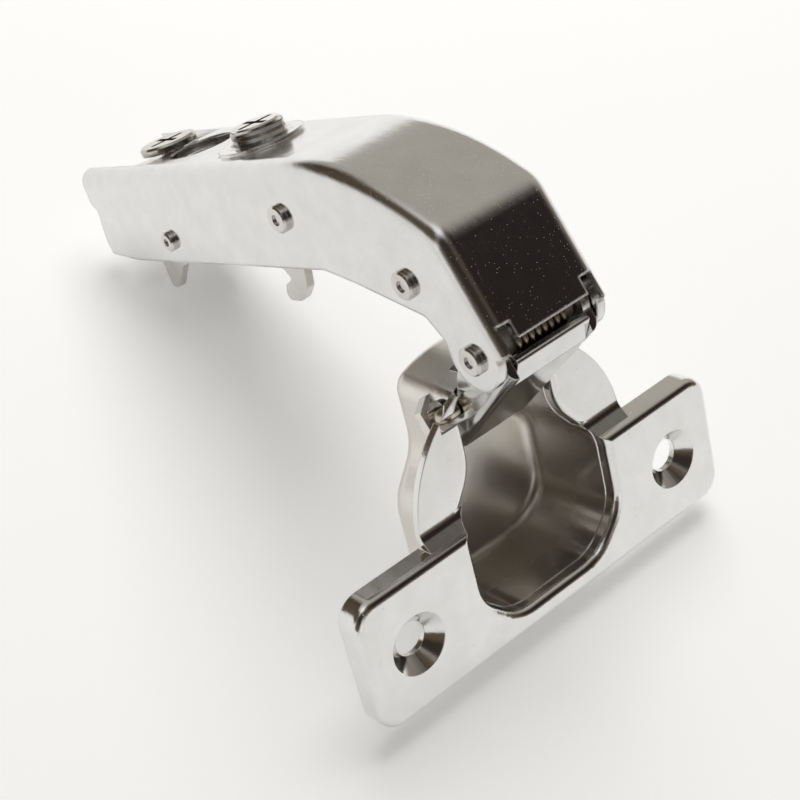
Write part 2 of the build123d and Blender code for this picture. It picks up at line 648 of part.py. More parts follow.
def make_cam():
    """Depth cam: slotted head on the arm, spiral body in its cut-out, shank in the carrier."""
    head_low = arm_height + 0.1
    body_low = carrier_top + 0.1
    shank_low = carrier_top - carrier_sheet - 0.9
    head = Pos(0, 0, head_low + cam_head_height / 2) * Cylinder(cam_head_radius, cam_head_height)
    head = chamfer(head.edges().sort_by(Axis.Z)[-1], 0.3)
    body = Cylinder(cam_body_radius, head_low - body_low)
    cam = head + Pos(cam_body_offset, 0, (head_low + body_low) / 2) * body
    cam += Pos(0, 0, (shank_low + body_low) / 2) * Cylinder(cam_shank_radius, body_low - shank_low)
    foot_top = carrier_top - carrier_sheet - 0.1
    cam += Pos(0, 0, (shank_low + foot_top) / 2) * Cylinder(cam_shank_radius + 0.9, foot_top - shank_low)
    cam -= Pos(0, 0, head_low + cam_head_height) * cross_recess(cam_head_radius * 0.62)
    return Pos(cam_position, 0, 0) * cam


def make_side_screw():
    """Side-adjusting screw: thread in the arm's back, neck and foot held in the carrier."""
    top = arm_height + side_screw_stand
    bottom = carrier_top + 0.2
    screw = Pos(0, 0, (top + bottom) / 2) * Cylinder(side_screw_radius, top - bottom)
    screw = chamfer(screw.edges().sort_by(Axis.Z)[-1], 0.5)
    neck_low = carrier_top - carrier_sheet - 0.2
    screw += Pos(0, 0, (neck_low + bottom) / 2) * Cylinder(screw_neck_radius, bottom - neck_low)
    screw += Pos(0, 0, neck_low - screw_foot_height / 2) * Cylinder(screw_foot_radius, screw_foot_height)
    screw -= Pos(0, 0, top) * cross_recess(side_screw_radius * 0.72)
    return Pos(side_screw_position, 0, 0) * screw


# ---------------------------------------------------------------- spring on the front pin
def coil_with_legs(wire, radius, pitch, turns, first_angle, last_angle, first_leg, last_leg):
    """Torsion spring round the y axis: a ridge for each turn, and legs along the tangents.

    Angles are measured in the x-z plane, from +x towards +z.
    """
    half = pitch * turns / 2
    root = radius + wire * 0.4
    ridges = []
    for index in range(turns):
        low = index * pitch - half
        ridges += [(root, low), (radius + wire, low + pitch * 0.3), (radius + wire, low + pitch * 0.7)]
    profile = Polyline((radius - wire, -half), *ridges, (root, half), (radius - wire, half), close=True)
    coil = revolve(make_face(profile), Axis.Y)
    for y, angle, leg, sign in ((half - pitch / 2, first_angle, first_leg, -1),
                                (pitch / 2 - half, last_angle, last_leg, 1)):
        x, z = polar((0, 0), radius, angle)
        along = Vector(-sin(radians(angle)), 0, cos(radians(angle))) * sign
        coil += extrude(Plane(origin=(x, y, z), z_dir=along) * Circle(wire), amount=leg)
    return coil


def make_closing_spring():
    """Torsion spring round the front pin: one leg bears on the arm's nose, one on the link's web."""
    wire = spring_wire / 2
    radius = front_pin_radius + 2 * sleeve_gap + sleeve_wall + wire
    nose_distance = arm_nose_distance - arm_sheet
    lean = degrees(asin((nose_distance - radius - wire - sleeve_gap) / spring_leg_length))
    last_angle = 90 - arm_nose_angle + arm_tilt - lean
    return coil_with_legs(wire, radius, spring_wire * spring_pitch_ratio, spring_turns,
                          link_angle - 90, last_angle, spring_short_leg, spring_leg_length)


def make_sleeve():
    inner = front_pin_radius + sleeve_gap
    half = link_outer_half - link_sheet - side_gap
    return side_rod(0, 0, inner + sleeve_wall, -half, half) - side_rod(0, 0, inner, -far, far)


# ---------------------------------------------------------------- assembly
def build():
    arm_place = Pos(front_pivot[0], 0, front_pivot[1]) * Rot(0, -arm_tilt, 0) * Pos(-arm_reach, 0, arm_drop)
    at_front_pin = Pos(front_pivot[0], 0, front_pivot[1])
    pieces = {
        "cup": make_cup(),
        "cup_pin": make_cup_pin(),
        "outer_link": make_outer_link(),
        "inner_link": make_inner_link(),
        "arm": arm_place * make_arm(),
        "front_pin": rivet(*front_pivot, front_pin_radius, rivet_head_radius, arm_half),
        "second_pin": rivet(*second_pivot, second_pin_radius, rivet_head_radius, arm_half),
        "guide_rivet_front": arm_place * rivet(*guide_front, guide_front_radius, rivet_head_radius, arm_half),
        "guide_rivet_rear": arm_place
        * rivet(*guide_rear, guide_rear_radius, guide_rear_head_radius, arm_half),
        "carrier": arm_place * make_carrier(),
        "latch": arm_place * make_latch(),
        "latch_pin": arm_place * make_latch_pin(),
        "latch_spring": arm_place * make_latch_spring(),
        "depth_cam": arm_place * make_cam(),
        "side_screw": arm_place * make_side_screw(),
        "closing_spring": at_front_pin * make_closing_spring(),
        "spring_sleeve": at_front_pin * make_sleeve(),
    }
    # row frame: the plate's lower back edge and the arm's rear lower corner come level
    heel = (arm_place * Pos(*arm_heel_corner)).position
    toe = (-plate_depth, -plate_below_screws)
    rest_tilt = degrees(atan2(heel.Z - toe[1], toe[0] - heel.X))
    turned = {name: Rot(0, -rest_tilt, 0) * shape for name, shape in pieces.items()}
    boxes = [shape.bounding_box() for shape in turned.values()]
    middle = (min(box.min.X for box in boxes) + max(box.max.X for box in boxes)) / 2
    home = Pos(-middle, 0, -min(box.min.Z for box in boxes))
    return {name: home * shape for name, shape in turned.items()}


os.makedirs("parts", exist_ok=True)
for name, shape in build().items():
    export_step(shape, f"parts/{name}.step")
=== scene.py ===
# %% [markdown]
# # A concealed cup hinge, dressed for its portrait
# The hinge is folded from steel strip and nickel plated. Its solids come from the imported model, so this
# lesson is about everything that makes bright plated steel look real: what it reflects, how the rolling
# and pressing have marked it, and how sheared edges catch the light. The imported solids are loaded first.

# %% Load the imported model
import bpy
import json
from math import cos, pi, radians, sin
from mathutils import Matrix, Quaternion, Vector


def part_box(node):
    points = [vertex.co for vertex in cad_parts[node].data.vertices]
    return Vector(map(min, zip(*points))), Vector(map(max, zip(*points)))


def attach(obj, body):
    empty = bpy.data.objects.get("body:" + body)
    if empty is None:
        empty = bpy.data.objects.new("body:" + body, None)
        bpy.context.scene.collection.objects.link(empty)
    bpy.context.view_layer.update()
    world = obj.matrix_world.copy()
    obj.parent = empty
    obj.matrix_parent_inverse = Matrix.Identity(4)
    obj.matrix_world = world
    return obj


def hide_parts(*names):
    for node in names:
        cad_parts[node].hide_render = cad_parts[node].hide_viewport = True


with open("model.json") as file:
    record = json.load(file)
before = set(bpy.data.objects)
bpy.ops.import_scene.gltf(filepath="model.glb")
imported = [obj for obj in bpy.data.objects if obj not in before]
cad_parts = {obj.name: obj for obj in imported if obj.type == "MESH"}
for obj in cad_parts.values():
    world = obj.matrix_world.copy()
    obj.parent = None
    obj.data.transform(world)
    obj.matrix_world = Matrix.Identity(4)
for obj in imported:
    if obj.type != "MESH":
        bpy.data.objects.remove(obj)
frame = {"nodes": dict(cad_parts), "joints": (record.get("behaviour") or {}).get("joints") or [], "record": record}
bpy.context.scene.view_settings.view_transform = "Standard"     # a colour shows as it is written
nodes = frame["nodes"]
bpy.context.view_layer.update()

# %% [markdown]
# ## The camera
# A product this small is shown from about a quarter of a metre with a long lens, which keeps the plate's
# edges nearly parallel. A camera is placed by its position and a quaternion, which holds its aim and its
# slight roll in one value. Depth of field stays off so that every pivot is sharp.

# %% Place the camera
camera_data = bpy.data.cameras.new("portrait_camera")
camera_data.sensor_width = 36.0
focal_pixels = 1650.0      # focal length in pixels of the image
image_width = 800.0        # pixels
camera_data.lens = camera_data.sensor_width * focal_pixels / image_width
camera_data.clip_start = 0.01
camera = bpy.data.objects.new("portrait_camera", camera_data)
camera.location = (0.105531, -0.104728, 0.177683)
camera.rotation_mode = "QUATERNION"
camera.rotation_quaternion = Quaternion((0.850657, 0.329542, 0.095077, 0.398429))
bpy.context.scene.collection.objects.link(camera)
bpy.context.scene.camera = camera
print("camera lens", round(camera_data.lens, 2), "mm at", [round(v, 3) for v in camera.location])

# %% [markdown]
# ## A helper for wiring shader nodes
# Every material below is a small network. Adding a node, setting its values and linking its inputs takes
# three calls in bpy, so one helper does all three. A value that is an output socket is linked, and
# anything else is written on the socket itself.

# %% Node wiring helper
def add_node(tree, kind, settings=None, **inputs):
    """Adds a shader node, writes its settings, and links or sets its named inputs."""
    node = tree.nodes.new(kind)
    for name, value in (settings or {}).items():
        setattr(node, name, value)
    for name, value in inputs.items():
        socket = node.inputs[int(name[1:])] if name.startswith("i") and name[1:].isdigit() else node.inputs[
            name.replace("_", " ")]
        if isinstance(value, bpy.types.NodeSocket):
            tree.links.new(value, socket)
        else:
            socket.default_value = value
    return node


def ramp(tree, factor, stops):
    """A colour ramp from a list of (position, grey or colour) stops."""
    node = tree.nodes.new("ShaderNodeValToRGB")
    tree.links.new(factor, node.inputs["Fac"])
    elements = node.color_ramp.elements
    while len(elements) < len(stops):
        elements.new(0.5)
    for element, (position, shade) in zip(elements, stops):
        element.position = position
        element.color = (shade, shade, shade, 1.0) if isinstance(shade, (int, float)) else (*shade, 1.0)
    return node.outputs["Color"]


print("node helper ready")

# %% [markdown]
# ## The studio
# Polished metal has no colour of its own to speak of: it shows the room. The room here is white down low,
# with darker places that the metal needs for contrast: a black panel ahead, a dark space where a camera
# and its operator would stand, a doorway with brown furniture beside it, a grey far wall and a shaded
# ceiling. Each patch has a direction (azimuth from +X towards +Y, and elevation), a solid inner angle,
# and an outer angle where it has faded out. The world shader mixes them in turn. Only the camera itself
# sees plain white, and every other ray sees the room.

# %% Paint the room by direction
def patch(tree, where, azimuth, elevation, inner, outer):
    """1 within the inner angle of a direction in the sky, fading to 0 at the outer angle; all in degrees."""
    level = cos(radians(elevation))
    aim = (level * cos(radians(azimuth)), level * sin(radians(azimuth)), sin(radians(elevation)))
    dot = add_node(tree, "ShaderNodeVectorMath", {"operation": "DOT_PRODUCT"}, i0=where, i1=aim)
    return add_node(tree, "ShaderNodeMapRange", {"interpolation_type": "SMOOTHSTEP"}, i0=dot.outputs["Value"],
                    i1=cos(radians(outer)), i2=cos(radians(inner)), i3=0.0, i4=1.0).outputs[0]


def blend_colour(tree, factor, first, second):
    """Mixes two colours by a factor."""
    node = tree.nodes.new("ShaderNodeMix")
    node.data_type = "RGBA"
    for socket, value in ((node.inputs["Factor"], factor), (node.inputs[6], first), (node.inputs[7], second)):
        if isinstance(value, bpy.types.NodeSocket):
            tree.links.new(value, socket)
        else:
            socket.default_value = value
    return node.outputs[2]


world = bpy.data.worlds.new("studio_room")
bpy.context.scene.world = world
world.use_nodes = True
sky = world.node_tree
sky.nodes.clear()
where = add_node(sky, "ShaderNodeTexCoord").outputs["Generated"]
height = add_node(sky, "ShaderNodeSeparateXYZ", i0=where).outputs["Z"]
room = ramp(sky, add_node(sky, "ShaderNodeMapRange", i0=height, i1=-1.0, i2=1.0).outputs[0],
            [(0.0, (1.0, 1.0, 1.0)), (0.5, (1.0, 0.995, 0.985)), (0.62, (0.92, 0.91, 0.89)),
             (0.8, (0.84, 0.83, 0.81)), (1.0, (1.05, 1.05, 1.05))])
sky_patches = [
    # azimuth, elevation, inner, outer, colour
    (126, 50, 12, 40, (0.66, 0.64, 0.60)),       # shaded ceiling
    (50, 42, 36, 58, (0.11, 0.08, 0.055)),       # warm surround of the black panel
    (49, 43, 15, 33, (0.022, 0.016, 0.016)),     # black panel
    (-48, 36, 20, 46, (0.035, 0.028, 0.022)),    # space behind the camera
    (140, 24, 28, 72, (0.44, 0.42, 0.37)),       # grey far wall
    (-172, 9, 9, 24, (0.05, 0.035, 0.025)),      # doorway at the side
    (-150, 14, 12, 30, (0.09, 0.065, 0.042)),    # brown furniture from the doorway round to the camera
    (-118, 32, 16, 34, (0.10, 0.075, 0.05)),
    (-62, 8, 12, 28, (0.10, 0.075, 0.05)),
]
for azimuth, elevation, inner, outer, colour in sky_patches:
    room = blend_colour(sky, patch(sky, where, azimuth, elevation, inner, outer), room, (*colour, 1.0))
seen = add_node(sky, "ShaderNodeLightPath").outputs["Is Camera Ray"]
room = blend_colour(sky, seen, room, (1.0, 1.0, 1.0, 1.0))
background = add_node(sky, "ShaderNodeBackground", Color=room, Strength=1.0)
add_node(sky, "ShaderNodeOutputWorld", Surface=background.outputs[0])
print("room painted with", len(sky.nodes), "nodes")

# %% [markdown]
# ## The table and the lamp
# One broad lamp from above and behind gives the soft shadow under the arm. The table is a sheet of white
# paper. It glows a little for camera, glossy and transmission rays, and more so further out, which lifts
# it towards white and still keeps the shadow.

# %% Lay the table and hang the lamp
def flat_quad(name, half, height_z):
    """A square sheet lying level."""
    mesh = bpy.data.meshes.new(name)
    corners = [(x * half, y * half, height_z) for x, y in ((-1, -1), (1, -1), (1, 1), (-1, 1))]
    mesh.from_pydata(corners, [], [(0, 1, 2, 3)])
    sheet = bpy.data.objects.new(name, mesh)
    bpy.context.scene.collection.objects.link(sheet)
    return sheet


table_half = 3.0            # metres
table_height = -0.00005     # just under the lowest point of the hinge
table = flat_quad("table", table_half, table_height)
table_paint = bpy.data.materials.new("white_table")
table_paint.use_nodes = True
paint_tree = table_paint.node_tree
paint = paint_tree.nodes["Principled BSDF"]
paint.inputs["Roughness"].default_value = 0.9
paint.inputs["Specular IOR Level"].default_value = 0.1
paint.inputs["Base Color"].default_value = (0.93, 0.93, 0.93, 1.0)
ray = add_node(paint_tree, "ShaderNodeLightPath")
direct = add_node(paint_tree, "ShaderNodeMath", {"operation": "MAXIMUM"}, i0=ray.outputs["Is Camera Ray"],
                  i1=ray.outputs["Is Glossy Ray"])
shown = add_node(paint_tree, "ShaderNodeMath", {"operation": "MAXIMUM"}, i0=direct.outputs[0],
                 i1=ray.outputs["Is Transmission Ray"])
near_edge, far_edge = 0.35, 1.0      # metres from the middle, between which the glow grows
near_glow, far_glow = 0.28, 0.6
from_middle = add_node(paint_tree, "ShaderNodeVectorMath", {"operation": "LENGTH"},
                       i0=add_node(paint_tree, "ShaderNodeTexCoord").outputs["Object"])
glow_by_distance = add_node(paint_tree, "ShaderNodeMapRange", i0=from_middle.outputs["Value"], i1=near_edge,
                            i2=far_edge, i3=near_glow, i4=far_glow)
glow = add_node(paint_tree, "ShaderNodeMath", {"operation": "MULTIPLY"}, i0=shown.outputs[0],
                i1=glow_by_distance.outputs[0])
paint.inputs["Emission Color"].default_value = (1.0, 1.0, 1.0, 1.0)
paint_tree.links.new(glow.outputs[0], paint.inputs["Emission Strength"])
table.data.materials.append(table_paint)

lamp_data = bpy.data.lights.new("broad_lamp", "AREA")
lamp_data.shape = "DISK"
lamp_data.size = 0.55
lamp_data.energy = 2.9
lamp = bpy.data.objects.new("broad_lamp", lamp_data)
lamp.location = (-0.30, 0.22, 0.62)
lamp.visible_glossy = False      # the metal shows the painted room and not the lamp
lamp.rotation_mode = "QUATERNION"
lamp.rotation_quaternion = (-lamp.location).to_track_quat("-Z", "Y")
bpy.context.scene.collection.objects.link(lamp)
print("lamp", lamp_data.energy, "W,", lamp_data.size, "m across")

# %% [markdown]
# ## Marks that all the plated steel shares
# Nickel plating follows the steel under it. Strip steel is rolled, so it carries very fine parallel
# grain; pressing leaves soft waviness that bends reflections; handling leaves hairline scratches and
# specks of dust. Each of these is a node group, so that every material can use it with values of its own.

# %% Group: rolling grain and waviness
def new_group(name, inputs, outputs):
    """An empty shader group with its sockets; returns the tree and its input node."""
    tree = bpy.data.node_groups.new(name, "ShaderNodeTree")
    for label, kind, value in inputs:
        socket = tree.interface.new_socket(name=label, in_out="INPUT", socket_type=kind)
        if value is not None:
            socket.default_value = value
    for label, kind in outputs:
        tree.interface.new_socket(name=label, in_out="OUTPUT", socket_type=kind)
    return tree, tree.nodes.new("NodeGroupInput")


grain_group, given = new_group(
    "rolled_grain",
    [("Position", "NodeSocketVector", None), ("Direction", "NodeSocketVector", (0.0, 0.0, 0.0)),
     ("Fineness", "NodeSocketFloat", 900.0)],
    [("Grain", "NodeSocketFloat"), ("Waves", "NodeSocketFloat"), ("Blotches", "NodeSocketFloat")])
turned = add_node(grain_group, "ShaderNodeMapping", i0=given.outputs["Position"],
                  i2=given.outputs["Direction"], i3=(0.02, 1.0, 1.0))
fine = add_node(grain_group, "ShaderNodeTexNoise", Vector=turned.outputs[0], Scale=given.outputs["Fineness"],
                Detail=3.0, Roughness=0.65)
waves = add_node(grain_group, "ShaderNodeTexNoise", Vector=given.outputs["Position"], Scale=95.0, Detail=1.0)
blotches = add_node(grain_group, "ShaderNodeTexNoise", Vector=given.outputs["Position"], Scale=260.0,
                    Detail=4.0, Roughness=0.6)
add_node(grain_group, "NodeGroupOutput", Grain=fine.outputs["Fac"], Waves=waves.outputs["Fac"],
         Blotches=blotches.outputs["Fac"])
print("group", grain_group.name, "with", len(grain_group.nodes), "nodes")

# %% [markdown]
# ## Dust and hairline scratches
# Specks come from a pattern of cells: each cell has one round speck at its own point, and only a share of
# the cells keeps it. Scratches are the thin lines where stretched noise crosses its middle value, and a
# second noise breaks them up into patches.

# %% Group: dust and hairline scratches
marks_group, given = new_group(
    "handling_marks",
    [("Position", "NodeSocketVector", None), ("Dust Amount", "NodeSocketFloat", 0.1),
     ("Dust Scale", "NodeSocketFloat", 900.0)],
    [("Dust", "NodeSocketFloat"), ("Scratches", "NodeSocketFloat")])
specks = add_node(marks_group, "ShaderNodeTexVoronoi", Vector=given.outputs["Position"],
                  Scale=given.outputs["Dust Scale"])
near = add_node(marks_group, "ShaderNodeMapRange", i0=specks.outputs["Distance"], i1=0.17, i2=0.08, i3=0.0,
                i4=1.0)
chosen = add_node(marks_group, "ShaderNodeSeparateColor", Color=specks.outputs["Color"])
kept = add_node(marks_group, "ShaderNodeMath", {"operation": "LESS_THAN"}, i0=chosen.outputs[0],
                i1=given.outputs["Dust Amount"])
dust = add_node(marks_group, "ShaderNodeMath", {"operation": "MULTIPLY"}, i0=near.outputs[0],
                i1=kept.outputs[0])
drawn_out = add_node(marks_group, "ShaderNodeMapping", i0=given.outputs["Position"], i2=(0.3, 0.9, 0.2),
                     i3=(0.03, 1.0, 0.5))
strands = add_node(marks_group, "ShaderNodeTexNoise", Vector=drawn_out.outputs[0], Scale=420.0, Detail=2.0)
centred = add_node(marks_group, "ShaderNodeMath", {"operation": "SUBTRACT"}, i0=strands.outputs["Fac"],
                   i1=0.5)
apart = add_node(marks_group, "ShaderNodeMath", {"operation": "ABSOLUTE"}, i0=centred.outputs[0])
hair = add_node(marks_group, "ShaderNodeMapRange", i0=apart.outputs[0], i1=0.004, i2=0.0, i3=0.0, i4=1.0)
patchy = add_node(marks_group, "ShaderNodeTexNoise", Vector=given.outputs["Position"], Scale=140.0)
broken = add_node(marks_group, "ShaderNodeMapRange", i0=patchy.outputs["Fac"], i1=0.52, i2=0.66, i3=0.0,
                  i4=1.0)
scratches = add_node(marks_group, "ShaderNodeMath", {"operation": "MULTIPLY"}, i0=hair.outputs[0],
                     i1=broken.outputs[0])
add_node(marks_group, "NodeGroupOutput", Dust=dust.outputs[0], Scratches=scratches.outputs[0])
print("group", marks_group.name, "with", len(marks_group.nodes), "nodes")

# %% [markdown]
# ## A screw thread as relief
# A thread is a ramp wound round an axis: its height depends on the turn angle plus the distance along the
# axis divided by the pitch. Folding that sum back and forth gives flanks and crests. The relief is cut
# off near the axis, so the screw's top stays flat.

# %% Group: screw thread
thread_group, given = new_group(
    "screw_thread",
    [("Position", "NodeSocketVector", None), ("Start", "NodeSocketVector", None),
     ("Axis", "NodeSocketVector", None), ("Across", "NodeSocketVector", None),
     ("Beside", "NodeSocketVector", None), ("Pitch", "NodeSocketFloat", 0.001),
     ("Core", "NodeSocketFloat", 0.003)],
    [("Height", "NodeSocketFloat")])
offset_place = add_node(thread_group, "ShaderNodeVectorMath", {"operation": "SUBTRACT"},
                        i0=given.outputs["Position"], i1=given.outputs["Start"])
along, across, beside = (
    add_node(thread_group, "ShaderNodeVectorMath", {"operation": "DOT_PRODUCT"}, i0=offset_place.outputs[0],
             i1=given.outputs[name]).outputs["Value"]
    for name in ("Axis", "Across", "Beside"))
angle = add_node(thread_group, "ShaderNodeMath", {"operation": "ARCTAN2"}, i0=beside, i1=across)
lead = add_node(thread_group, "ShaderNodeMath", {"operation": "DIVIDE"}, i0=along, i1=given.outputs["Pitch"])
wound = add_node(thread_group, "ShaderNodeMath", {"operation": "MULTIPLY_ADD"}, i0=angle.outputs[0],
                 i1=0.5 / pi, i2=lead.outputs[0])
flanks = add_node(thread_group, "ShaderNodeMath", {"operation": "PINGPONG"}, i0=wound.outputs[0], i1=0.5)
from_axis = add_node(thread_group, "ShaderNodeCombineXYZ", X=across, Y=beside)
reach = add_node(thread_group, "ShaderNodeVectorMath", {"operation": "LENGTH"}, i0=from_axis.outputs[0])
outside = add_node(thread_group, "ShaderNodeMath", {"operation": "GREATER_THAN"}, i0=reach.outputs["Value"],
                   i1=given.outputs["Core"])
crest = add_node(thread_group, "ShaderNodeMath", {"operation": "MULTIPLY"}, i0=flanks.outputs[0],
                 i1=outside.outputs[0])
add_node(thread_group, "NodeGroupOutput", Height=crest.outputs[0])
print("group", thread_group.name, "with", len(thread_group.nodes), "nodes")

# %% [markdown]
# ## Bright plated steel
# One recipe makes every metal here: a metallic base that varies a little in tone, a roughness driven by
# blotches and scratches, and a bump of grain and waves. A Bevel node rounds the shading of sheared edges,
# because no stamped edge is knife sharp and its thin highlight is what the eye reads as sheet metal.

# %% Recipe for plated steel
dust_tone = (0.9, 0.88, 0.84, 1.0)
# painted shade: a darker, browner tone for the cup's recess, standing in for the shade that falls there
recess_shade_tone = (0.80, 0.77, 0.70, 1.0)
recess_from, recess_to = -0.001, -0.006      # metres along the normal where the dulling and the painted shade ramp in
drawn_dulling = 0.2                        # roughness that drawing adds
painted_shade_share = 0.8                        # share of the brown painted shade that the recess takes
scratch_dulling, dust_dulling = 0.18, 0.6  # roughness that marks add


def plated_metal(name, tone, shade, smooth, rough, direction=(0, 0, 0), fineness=900.0, grain_depth=0.00002,
                 wave_depth=0.00012, dust_amount=0.04, dust_scale=2000.0, edge=0.00022, thread=None,
                 dull_and_shade_below=None):
    """Metal that runs between two tones and two roughnesses; direction turns its grain.

    thread cuts a screw thread; below a plane (a point and its normal) the metal dulls and takes painted shade.
    """
    material = bpy.data.materials.new(name)
    material.use_nodes = True
    tree = material.node_tree
    shader = tree.nodes["Principled BSDF"]
    place = add_node(tree, "ShaderNodeTexCoord").outputs["Object"]
    grain = add_node(tree, "ShaderNodeGroup", {"node_tree": grain_group}, Position=place,
                     Direction=direction, Fineness=fineness)
    marks = add_node(tree, "ShaderNodeGroup", {"node_tree": marks_group}, Position=place,
                     Dust_Amount=dust_amount, Dust_Scale=dust_scale)
    even = add_node(tree, "ShaderNodeMapRange", i0=grain.outputs["Blotches"], i1=0.3, i2=0.7)
    colour = blend_colour(tree, even.outputs[0], (*tone, 1.0), (*shade, 1.0))
    colour = blend_colour(tree, marks.outputs["Dust"], colour, dust_tone)
    tree.links.new(colour, shader.inputs["Base Color"])
    gloss = add_node(tree, "ShaderNodeMapRange", i0=grain.outputs["Blotches"], i1=0.3, i2=0.7, i3=smooth,
                     i4=rough)
    if dull_and_shade_below:
        point, normal = dull_and_shade_below
        below = add_node(tree, "ShaderNodeVectorMath", {"operation": "SUBTRACT"}, i0=place, i1=tuple(point))
        depth = add_node(tree, "ShaderNodeVectorMath", {"operation": "DOT_PRODUCT"}, i0=below.outputs[0],
                         i1=tuple(normal))
        dull_and_shade = add_node(tree, "ShaderNodeMapRange", i0=depth.outputs["Value"], i1=recess_from, i2=recess_to,
                        i3=0.0, i4=drawn_dulling)
        gloss = add_node(tree, "ShaderNodeMath", {"operation": "ADD"}, i0=gloss.outputs[0],
                         i1=dull_and_shade.outputs[0])
        # painted shade: deeper metal is blended towards the darker brown tone, as the shade inside the cup
        recess_shade = add_node(tree, "ShaderNodeMath", {"operation": "MULTIPLY"}, i0=dull_and_shade.outputs[0],
                        i1=painted_shade_share / drawn_dulling)
        colour = blend_colour(tree, recess_shade.outputs[0], colour, recess_shade_tone)
        tree.links.new(colour, shader.inputs["Base Color"])
    dulled = add_node(tree, "ShaderNodeMath", {"operation": "MULTIPLY_ADD"}, i0=marks.outputs["Scratches"],
                      i1=scratch_dulling, i2=gloss.outputs[0])
    dusted = add_node(tree, "ShaderNodeMath", {"operation": "MULTIPLY_ADD", "use_clamp": True},
                      i0=marks.outputs["Dust"], i1=dust_dulling, i2=dulled.outputs[0])
    tree.links.new(dusted.outputs[0], shader.inputs["Roughness"])
    bare = add_node(tree, "ShaderNodeMath", {"operation": "SUBTRACT"}, i0=1.0, i1=marks.outputs["Dust"])
    tree.links.new(bare.outputs[0], shader.inputs["Metallic"])
    rounded = add_node(tree, "ShaderNodeBevel", {"samples": 4}, Radius=edge)
    wavy = add_node(tree, "ShaderNodeBump", Strength=1.0, Distance=wave_depth, Height=grain.outputs["Waves"],
                    Normal=rounded.outputs[0])
    grained = add_node(tree, "ShaderNodeBump", Strength=1.0, Distance=grain_depth,
                       Height=grain.outputs["Grain"], Normal=wavy.outputs[0])
    surface = grained
    if thread:
        relief = add_node(tree, "ShaderNodeGroup", {"node_tree": thread_group}, Position=place, **thread)
        surface = add_node(tree, "ShaderNodeBump", Strength=1.0, Distance=2 * thread["Pitch"],
                           Height=relief.outputs[0], Normal=grained.outputs[0])
    tree.links.new(surface.outputs[0], shader.inputs["Normal"])
    return material


joints = {joint["name"]: joint for joint in frame["joints"]}
screw_axis = Vector(joints["side_screw_turn"]["axis"])
side_screw_thread = {
    "Start": tuple(joints["side_screw_turn"]["pos_m"]), "Axis": tuple(screw_axis), "Across": (0.0, 1.0, 0.0),
    "Beside": tuple(screw_axis.cross((0.0, 1.0, 0.0))), "Pitch": 0.0009, "Core": 0.0033,
}
mounts = {mount["name"]: mount for mount in frame["record"]["mounts"]}
plate_face = (Vector(mounts["cup_screws"]["pos_m"]), Vector(mounts["cup_screws"]["axis"]))
rolled = {"cup": radians(-29), "arm": radians(-39), "outer_link": radians(-73)}   # turn of each strip's grain
plates = {
    "cup": plated_metal("nickel_cup", (0.82, 0.82, 0.81), (0.77, 0.765, 0.75), 0.11, 0.16,
                        direction=(0, rolled["cup"], 0), wave_depth=0.00003, dust_amount=0.03,
                        dull_and_shade_below=plate_face),
    "arm": plated_metal("nickel_arm", (0.76, 0.76, 0.755), (0.71, 0.705, 0.695), 0.12, 0.18,
                        direction=(0, rolled["arm"], 0), wave_depth=0.00006, dust_amount=0.25,
                        dust_scale=3600.0, edge=0.00055),
    "outer_link": plated_metal("nickel_link", (0.74, 0.74, 0.735), (0.67, 0.665, 0.655), 0.12, 0.20,
                               direction=(0, rolled["outer_link"], 0)),
    "inner_sheet": plated_metal("nickel_inner_sheet", (0.66, 0.65, 0.63), (0.58, 0.565, 0.54), 0.16, 0.28,
                                direction=(0, rolled["arm"], 0)),
    "rivet": plated_metal("rivet_steel", (0.70, 0.685, 0.66), (0.58, 0.56, 0.53), 0.16, 0.30,
                          wave_depth=0.00003, edge=0.00012),
    "screw": plated_metal("screw_nickel", (0.62, 0.60, 0.56), (0.48, 0.46, 0.42), 0.12, 0.24,
                          wave_depth=0.00003, edge=0.00012),
    "threaded": plated_metal("screw_thread_nickel", (0.76, 0.74, 0.71), (0.60, 0.58, 0.55), 0.14, 0.26,
                             wave_depth=0.00003, edge=0.00008, thread=side_screw_thread),
    "yellow_wire": plated_metal("yellow_wire", (0.66, 0.59, 0.48), (0.44, 0.38, 0.29), 0.18, 0.32,
                                wave_depth=0.00002, dust_amount=0.0),
    "spring_wire": plated_metal("oiled_spring_wire", (0.40, 0.345, 0.29), (0.22, 0.18, 0.145), 0.20, 0.38,
                                wave_depth=0.00001, dust_amount=0.0, edge=0.00002),
}
print("metals:", sorted(plates))

# %% [markdown]
# ## The spring's sleeve
# The coil runs on a moulded sleeve so that it doesn't chatter on the pin. Moulded acetal is slightly
# waxy, so it gets a soft roughness and a faint mottle.

# %% Moulded sleeve
acetal = bpy.data.materials.new("acetal_sleeve")
acetal.use_nodes = True
acetal_tree = acetal.node_tree
acetal_shader = acetal_tree.nodes["Principled BSDF"]
mottle = add_node(acetal_tree, "ShaderNodeTexNoise", Scale=700.0, Detail=3.0,
                  Vector=add_node(acetal_tree, "ShaderNodeTexCoord").outputs["Object"])
acetal_tree.links.new(blend_colour(acetal_tree, mottle.outputs["Fac"], (0.74, 0.72, 0.66, 1.0),
                                   (0.66, 0.63, 0.57, 1.0)), acetal_shader.inputs["Base Color"])
waxy = add_node(acetal_tree, "ShaderNodeMapRange", i0=mottle.outputs["Fac"], i3=0.38, i4=0.55)
acetal_tree.links.new(waxy.outputs[0], acetal_shader.inputs["Roughness"])
moulded = add_node(acetal_tree, "ShaderNodeBump", Strength=0.4, Distance=0.00002,
                   Height=mottle.outputs["Fac"])
acetal_tree.links.new(moulded.outputs[0], acetal_shader.inputs["Normal"])
print("sleeve material", acetal.name)

# %% [markdown]
# ## Dressing each piece
# The solids keep their shape and only change their material. Each piece of strip gets the metal of its
# own batch, and the wires, rivets and screws get theirs.

